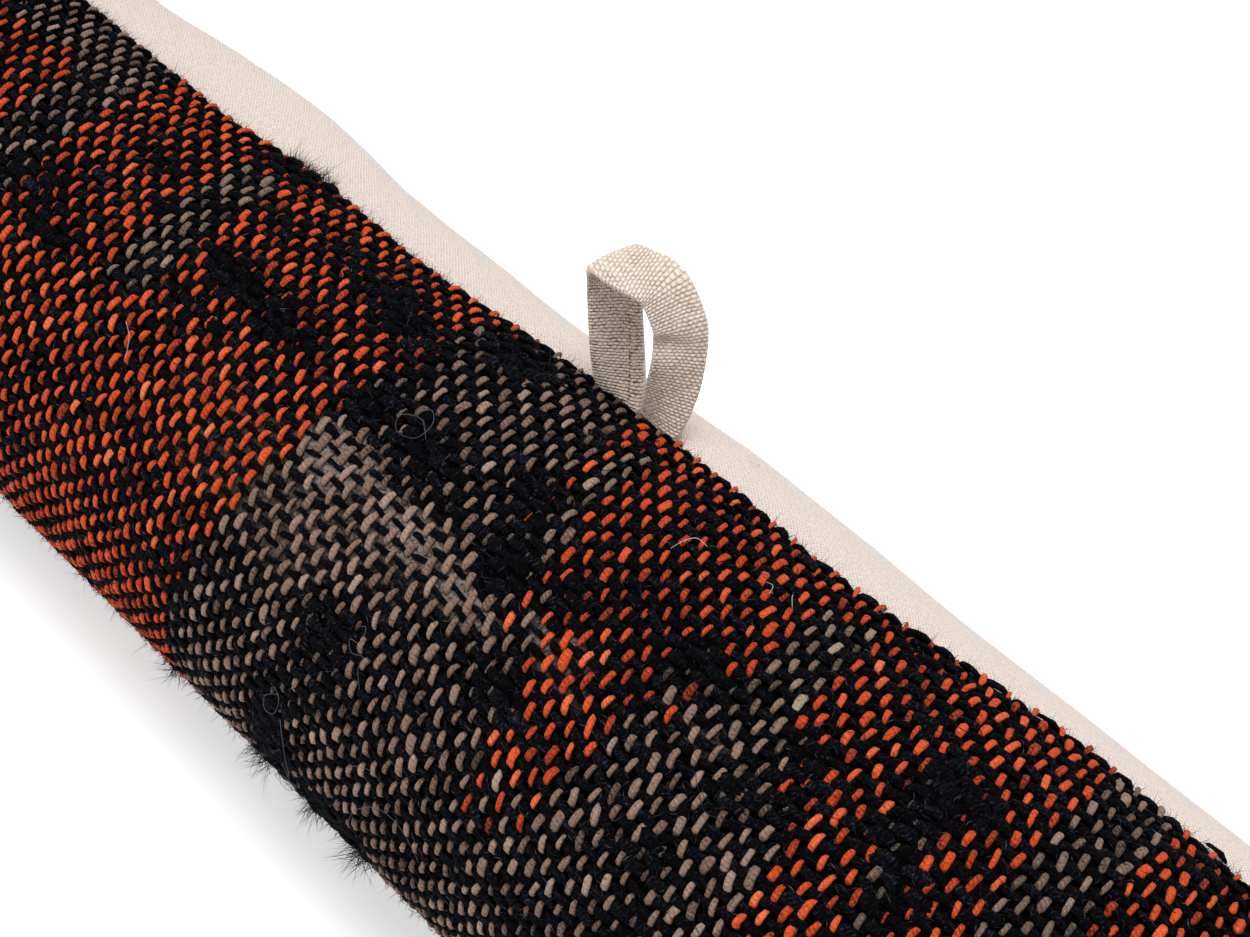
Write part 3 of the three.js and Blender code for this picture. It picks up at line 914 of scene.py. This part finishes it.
# plump threads lie across the tape: each row is a low ridge, staggered against the next
lengthGrid = np.broadcast_to(length[:, None], across.shape)
alongPhase = lengthGrid / loop["weftPitch"] + wander(31, lengthGrid, across, 7, 0.9)
alongPhase = alongPhase + wander(35, lengthGrid, across, 1.7, 0.35)
acrossPhase = across / loop["warpPitch"] + wander(32, lengthGrid, across, 7, 0.7)
acrossPhase = acrossPhase + wander(36, lengthGrid, across, 1.7, 0.4)
relief = np.abs(np.sin(alongPhase * math.pi)) - 0.5
relief = relief + wander(34, alongPhase, acrossPhase * 2, 1, 0.9)
# one long edge is turned in and sewn down on the inner side
hem = np.clip((across - loop["hemFrom"]) / 0.35, 0, 1) * (inner > 0) * loop["hemHeight"]
threadRise = inner * relief * (0.75 + 0.25 * (inner > 0)) * loop["threadHeight"]
grid = (centre[:, None, :] + width[:, None, :] * across[..., None]
        + facing[:, None, :] * (through + threadRise + hem)[..., None])
# its ends stop level, just over the seam
seamTilt = math.radians(seamAngle[0])
outward = np.array([0, math.sin(seamTilt), math.cos(seamTilt)])
above = (grid - seat) @ outward - loop["footHeight"]
grid = grid + outward * (np.maximum(above, 0) - above)[..., None]

# painted shade: on the inner side the colour is darkened along the groove beside the hem and the groove
# near the far edge
grooveShade = np.exp(-(((across - loop["hemFrom"]) / 0.3) ** 2)) * (inner > 0)
grooveShade += 0.7 * np.exp(-(((across - half + 0.9) / 0.3) ** 2)) * (inner > 0)
tone = 0.65 - 0.4 * grooveShade + wander(33, lengthGrid, across * 5, 3, 0.3)
# painted light and shade: on the inner side the thread ridges are lightened and the hollows between the
# rows darkened
tone = tone + (relief - 0.14) * 0.7 * (inner > 0)
# painted shade: the outer side is darkened below the fold, standing in for the shade that falls there
tone = tone - 0.13 * np.clip(places[:, None] - loop["foldPlace"], 0, 1) * (inner < 0)
feet = grid[[0, -1]].mean(axis=1)
phases = np.stack([acrossPhase.ravel(), alongPhase.ravel() * loop["rowStretch"]], axis=-1)
sides, ends = ringFaces(*across.shape)
hangingLoop = makePiece(
    "hangingLoop", np.concatenate([feet[:1], grid.reshape(-1, 3), feet[1:]]),
    # the section runs the other way round here, so the faces are turned
    [sides[:, [0, 3, 2, 1]], ends[:, [0, 2, 1]]], linen,
    uv=np.concatenate([phases[:1], phases, phases[-1:]]),
    values={"tone": np.concatenate([[0.5], tone.ravel(), [0.5]])})
print("loop done, tape length", round(float(length[-1]), 1))

# What the loose fibres share: the stretch where most of them lie, how far they stay from a tip,
# the floor under them, and the height below which none points down
hairs = {"middle": (-195, 175), "fromTip": 3.0, "floor": 0.3, "lowPlace": 8.0}


# Direction square to the cloth, a millimetre long
def outwardAt(run, across):
    return clothPoint(run, across, 1.0) - clothPoint(run, across, 0.0)


# Hairs: three-sided tubes along a bent line, closed to a point at both ends. base: where each
# leaves the cloth. The line is base + aim * length * step + curl * bend * length * step^2
def hairMesh(base, aim, curl, length, bend, radius, tone, rings=1):
    count = len(base)
    steps = np.linspace(0, 1, rings + 2)
    line = (base[:, None] + aim[:, None] * (length[:, None] * steps)[..., None]
            + curl[:, None] * ((bend * length)[:, None] * steps**2)[..., None])
    side = unit(np.cross(aim, curl))
    other = np.cross(side, aim)
    turns = np.radians([90, 210, 330])[None, :, None]
    circle = side[:, None] * np.cos(turns) + other[:, None] * np.sin(turns)
    thickness = radius[:, None] * (1 - 0.6 * steps[1:-1])
    body = line[:, 1:-1, None] + circle[:, None] * thickness[..., None, None]
    points = np.concatenate([line[:, :1], body.reshape(count, -1, 3), line[:, -1:]], axis=1)
    size = points.shape[1]
    return points.reshape(-1, 3), copiedFaces(ringFaces(rings, 3), count, size), np.repeat(tone, size)


def makeHairs(name, parts):
    points, faces = joined(parts)
    points[:, 2] = np.maximum(points[:, 2], hairs["floor"])
    return makePiece(name, points, faces, looseFibre,
                     values={"tone": np.concatenate([part[2] for part in parts])})


# Unit directions of hairs, turned up where they start close to the floor
def offFloor(aim, base):
    aim = unit(aim)
    low = base[:, 2] < hairs["lowPlace"]
    aim[low, 2] = np.abs(aim[low, 2])
    return aim


# Places for hairs all over the wool, kept by a chance that comes from the black cover and from
# the distance to the nearer seam
def hairPlaces(dice, shape, chance):
    tries = shape["count"] * shape["triesEach"]
    inMiddle = dice.random(tries) < shape["middleShare"]
    run = np.where(inMiddle, dice.uniform(*hairs["middle"], tries),
                   dice.uniform(-halfRun, halfRun, tries))
    across = dice.uniform(shape["acrossFrom"], shape["acrossTo"], tries)
    toSeam = toPanelEdge(run, across)
    cover = coverAt(run - weave["skew"] * across, across)
    keep = (toSeam > shape["fromSeam"]) & (dice.random(tries) < chance(cover, toSeam))
    keep &= np.abs(run) < halfRun - hairs["fromTip"]
    return run[keep][:shape["count"]], across[keep][:shape["count"]]


# Loose wool fibres, black with a few bluish grey ones, finer than a yarn and matt. Their palest tones
# are partly painted sheen highlights on black fibres
looseFibre, tree, shader = newMaterial(
    "looseWoolFibre", Roughness=0.9, Sheen_Weight=0.05, Specular_IOR_Level=0.08)
tone = addNode(tree, "Attribute", {"attribute_name": "tone"})
addNode(tree, "ValToRGB", to=shader.inputs["Base Color"], Fac=(tone, "Fac"), stops={
    0.0: "040405", 0.45: "0C0C12", 0.7: "1C1E29", 0.9: "34374A", 1.0: "62656F"})

# Fuzz: fine short hairs that stand up from the cloth, most where it is dark or near a seam
fuzz = {
    "seed": 71,
    "count": 7000,
    "triesEach": 3,
    "middleShare": 0.75,
    "acrossFrom": -2,
    "acrossTo": 200,
    "fromSeam": 0.2,
    "depth": 0.9,
    "length": 2.6,
    "radius": 0.055,
}
dice = np.random.default_rng(fuzz["seed"])
run, across = hairPlaces(dice, fuzz, lambda cover, toSeam: 0.25 + 0.75 * cover + 0.5 * (toSeam < 3))
count = len(run)
base = clothPoint(run, across, -fuzz["depth"])
sideways = dice.normal(size=(count, 3)) * 0.55
aim = outwardAt(run, across) * dice.uniform(0.15, 1.0, count)[:, None] + sideways
curl = unit(dice.normal(size=(count, 3)))
lengths = fuzz["length"] * dice.uniform(0.5, 1.6, count)
woolFuzz = makeHairs("woolFuzz", [hairMesh(
    base, offFloor(aim, base), curl, lengths, dice.uniform(0.1, 0.9, count),
    fuzz["radius"] * dice.uniform(0.7, 1.4, count), dice.random(count) ** 1.5)])

# Dark tufts: thicker curls of black fibre that lie over the weave where it is covered
tufts = {
    "seed": 81,
    "count": 17000,
    "triesEach": 6,
    "middleShare": 0.62,
    "acrossFrom": 0,
    "acrossTo": 200,
    "fromSeam": 0.3,
    "everywhere": 0.16,
    "bindings": 11000,
    "bindingCover": -0.3,
    "length": 2.3,
    "radius": 0.11,
}
dice = np.random.default_rng(tufts["seed"])
run, across = hairPlaces(dice, tufts, lambda cover, toSeam: (
    np.clip(cover, 0, 1) ** 1.2 + tufts["everywhere"] * np.clip(1 + 2 * cover, 0, 1)))
heading = dice.uniform(0, 2 * math.pi, len(run))
level = dice.uniform(-0.9, 0.0, len(run))
# others leave the black yarns along their run and lie over the ends of the coloured grains
blackOnes = np.flatnonzero(
    (crossings["name"] == "black") & seen & (crossings["cover"] > tufts["bindingCover"]))
chosen = dice.choice(blackOnes, tufts["bindings"])
count = len(chosen)
run = np.concatenate([run, crossings["run"][chosen] + dice.uniform(-1.8, 1.8, count)])
across = np.concatenate([across, crossings["across"][chosen] + dice.uniform(-1.0, 1.0, count)])
lengthwise = dice.normal(size=count) * 0.55 + math.pi * dice.integers(0, 2, count)
heading = np.concatenate([heading, lengthwise])
level = np.concatenate([level, dice.uniform(-0.35, 0.25, count)])
count = len(run)
outward = outwardAt(run, across)
ahead = clothPoint(run + np.cos(heading), across + np.sin(heading), 0.0)
ahead = ahead - clothPoint(run, across, 0.0)
aim = unit(ahead + outward * dice.uniform(0.0, 0.75, count)[:, None])
curl = unit(np.cross(outward, ahead) * dice.choice([-1, 1], count)[:, None] - outward * 0.7)
lengths = tufts["length"] * dice.uniform(0.5, 1.4, count)
darkTufts = makeHairs("darkTufts", [hairMesh(
    clothPoint(run, across, level), aim, curl, lengths, dice.uniform(0.2, 0.9, count),
    tufts["radius"] * dice.uniform(0.5, 1.4, count), dice.random(count))])

# Hairs that stand out over the wool's edges, in groups: the edge, how many, from and to along the
# tube, the shortest and the longest, and how far they reach across the outline. The edge is -1 at
# the upper seam, 1 at the lower one, and 0 at the front's outline, as the camera sees it
edgeHairs = {
    "seed": 91,
    "radius": 0.07,
    "outline": 146.0,
    "groups": [
        (-1, 3000, -190, 180, 1.2, 3.2, 0),
        (-1, 900, -430, 430, 1.0, 2.6, 0),
        (-1, 260, -114, -99, 2.5, 6.5, 0),
        (1, 1300, -430, 430, 1.0, 2.4, 0),
        (0, 3300, -205, 188, 1.0, 4.2, 24),
        (0, 120, -27, -21, 3.0, 8.0, 5),
        (0, 160, 8, 13, 3.5, 8.5, 5),
        (0, 90, -8, -4, 3.0, 7.0, 5),
        (0, 80, -62, -57, 3.0, 7.0, 5),
    ],
}
dice = np.random.default_rng(edgeHairs["seed"])
groups = []
for side, count, start, end, shortest, longest, spread in edgeHairs["groups"]:
    run = dice.uniform(start, end, count)
    size, _, half, degree = panelAt(run)
    inset = dice.uniform(-0.4, 1.6, count)
    across = half * degree + side * (half * degree * size - inset)
    if side == 0:
        across = edgeHairs["outline"] + dice.uniform(-1, 1, count) * spread
    base = clothPoint(run, across, dice.uniform(-1.0, 0.0, count))
    away = clothPoint(run, across + side, 0.0) - clothPoint(run, across, 0.0)
    aim = away * dice.uniform(0.2, 1.2, count)[:, None] + dice.normal(size=(count, 3)) * 0.45
    aim = aim + outwardAt(run, across) * dice.uniform(0.15, 0.8, count)[:, None]
    curl = unit(dice.normal(size=(count, 3)))
    lengths = shortest + (longest - shortest) * dice.random(count) ** 2.2
    groups.append(hairMesh(
        base, offFloor(aim, base), curl, lengths, dice.uniform(0.1, 0.8, count),
        edgeHairs["radius"] * dice.uniform(0.7, 1.3, count), dice.random(count) * 0.9, rings=2))
woolEdgeHairs = makeHairs("woolEdgeHairs", groups)


# A thin round strand along a curve through a few points, closed to a point at both ends
def strandMesh(stops, radius):
    count = 6 * len(stops)
    line = smoothRows(np.asarray(stops, float), np.linspace(0, len(stops) - 1, count))
    onward = np.gradient(line, axis=0)
    side = unit(np.cross(onward, [0.31, 0.52, 0.80]))  # a direction that no strand follows
    other = unit(np.cross(onward, side))
    turns = np.radians([0, 120, 240])[:, None]
    body = side[1:-1, None] * np.cos(turns) + other[1:-1, None] * np.sin(turns)
    body = line[1:-1, None] + radius * body
    sides, ends = ringFaces(count - 2, 3)
    sides = np.concatenate([sides[:, [0, 1, 2]], sides[:, [0, 2, 3]]])
    return np.concatenate([line[:1], body.reshape(-1, 3), line[-1:]]), [sides, ends]


# Long stray fibres on the wool: greyish, bluish and undyed. For each kind its colour, and for
# each fibre its radius and its stops along and across the cloth, with the height over it
strayFibres = {
    "grey": ("5E6068", [
        (0.06, [(-30, 41, 1), (-27, 39, 2), (-24, 42, 2.4), (-25, 46, 1.6), (-29, 47, 2),
                (-31, 44, 2.6), (-27, 42, 2.2), (-23, 45, 1)]),
        (0.06, [(-8, 84, 1), (-6, 83, 2.2), (-5, 86, 2.6), (-8, 87, 2.2), (-6, 89, 2.2),
                (-3, 88, 2.4), (-3, 91, 2), (-1, 95, 1)]),
        (0.06, [(-22, 109, 1), (-19, 110, 2), (-19, 114, 2.5), (-22, 115, 2.4), (-23, 112, 2),
                (-20, 110, 1)]),
        (0.07, [(-18.5, 116, 1), (-16, 119, 2.2), (-14, 125, 2.6), (-14, 130, 2),
                (-17, 136, 1)]),
        (0.06, [(-18, 131, 1), (-14, 131, 2.2), (-13, 135, 2.6), (-16, 138, 2.5),
                (-19, 136, 2.4), (-17, 133, 2.4), (-13, 136, 1)]),
        (0.05, [(5, 128, 1), (8, 120, 2.2), (13, 114, 2.4), (18, 112, 2.4), (23, 113, 2.2),
                (27, 118, 1)]),
        (0.05, [(3, 112, 1), (6, 109, 2), (10, 107, 2), (13, 109, 1)]),
    ]),
    "blue": ("23283A", [
        (0.07, [(69, 59, 0.6), (73, 62, 1.6), (76, 64, 1.8), (80, 63, 0.6)]),
        (0.06, [(-62, 88, 0.6), (-58, 92, 1.6), (-57, 97, 1.8), (-60, 101, 0.6)]),
    ]),
    "pale": ("CFC4B8", [
        (0.07, [(33, 28, 0.4), (34, 25, 1.4), (35.5, 22.5, 1.6), (38, 21.5, 0.6)]),
        (0.06, [(52, 18, 0.4), (54, 18.5, 1.3), (54.5, 20, 0.4)]),
        (0.06, [(58, 16, 0.4), (58.5, 17.5, 1.3), (60, 19, 0.4)]),
        (0.05, [(-101, 64, 0.4), (-97, 66, 1.2), (-95, 70, 0.6)]),
        (0.06, [(22, -15, 0.1), (24, -15.5, 1.0), (26, -17, 0.1)]),
        (0.06, [(24, -13.5, 0.1), (24.5, -15.5, 1.2), (24, -17.5, 0.1)]),
    ]),
}
for kind, (hexColour, fibres) in strayFibres.items():
    fibreMaterial, _, _ = newMaterial(
        kind + "Fibre", Roughness=0.7, Specular_IOR_Level=0.2, Base_Color=colour(hexColour))
    strands = []
    for radius, stops in fibres:
        along, across, height = np.array(stops, float).T
        line = clothPoint(along + weave["skew"] * across, across, height)
        strands.append(strandMesh(line, radius))
    woolPieces.append(makePiece(kind + "StrayFibres", *joined(strands), fibreMaterial))


# A place on the hanging loop: its row along the path, across the tape, and out from its middle
def onLoop(place, across, through):
    row = int(round(place / (len(loopPath) - 1) * (loop["steps"] - 1)))
    return centre[row] + width[row] * across + facing[row] * through


# White sewing thread: stitches along the tape's hem, a loose end inside the loop, and a stitch
# across the wool at its foot
sewing = {
    "first": 4.0,
    "last": 6.0,
    "pitch": 2.8,
    "stitch": 1.7,
    "radius": 0.13,
    "across": 2.75,
    "height": 1.25,
    "stops": ((0, -0.35), (0.5, 0.12), (1, -0.35)),  # share of the stitch, and height over it
    "looseEnd": ((3.62, 2.0, 1.2), (3.45, 1.8, 2.0), (3.2, 2.2, 2.2), (2.93, 2.6, 1.5)),
    "looseRadius": 0.10,
    "foot": ((-4.8, 0.5, 1.2), (-2.5, 1.4, 2.3), (-0.5, 2.4, 2.4), (1.6, 2.0, 1.2)),
    "footRadius": 0.11,
}
threadMaterial, _, _ = newMaterial(
    "cottonThread", Roughness=0.6, Specular_IOR_Level=0.3, Base_Color=colour("DDD0C0"))
threads = []
for start in np.arange(sewing["first"], float(length[-1]) - sewing["last"], sewing["pitch"]):
    stops = []
    for share, height in sewing["stops"]:
        place = float(np.interp(start + share * sewing["stitch"], length, places))
        stops.append(onLoop(place, sewing["across"], sewing["height"] + height))
    threads.append(strandMesh(stops, sewing["radius"]))
threads.append(strandMesh([onLoop(*stop) for stop in sewing["looseEnd"]], sewing["looseRadius"]))
threads.append(strandMesh(clothPoint(*np.array(sewing["foot"]).T), sewing["footRadius"]))
loopThread = makePiece("loopThread", *joined(threads), threadMaterial)
print("sewing thread", len(threads), "strands")

# Every piece rides on the one body, and three of them stand for the CAD solids
woolPieces += [woolFuzz, darkTufts, woolEdgeHairs]
for piece in [woolCloth, cottonBack, hangingLoop, loopThread, *woolPieces]:
    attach(piece, "root")
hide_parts("cotton_back_filled")
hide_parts("wool_front")
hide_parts("hanging_loop")

triangles = 0
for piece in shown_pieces():
    triangles += sum(len(face.vertices) - 2 for face in piece.data.polygons)
print("triangles", triangles)
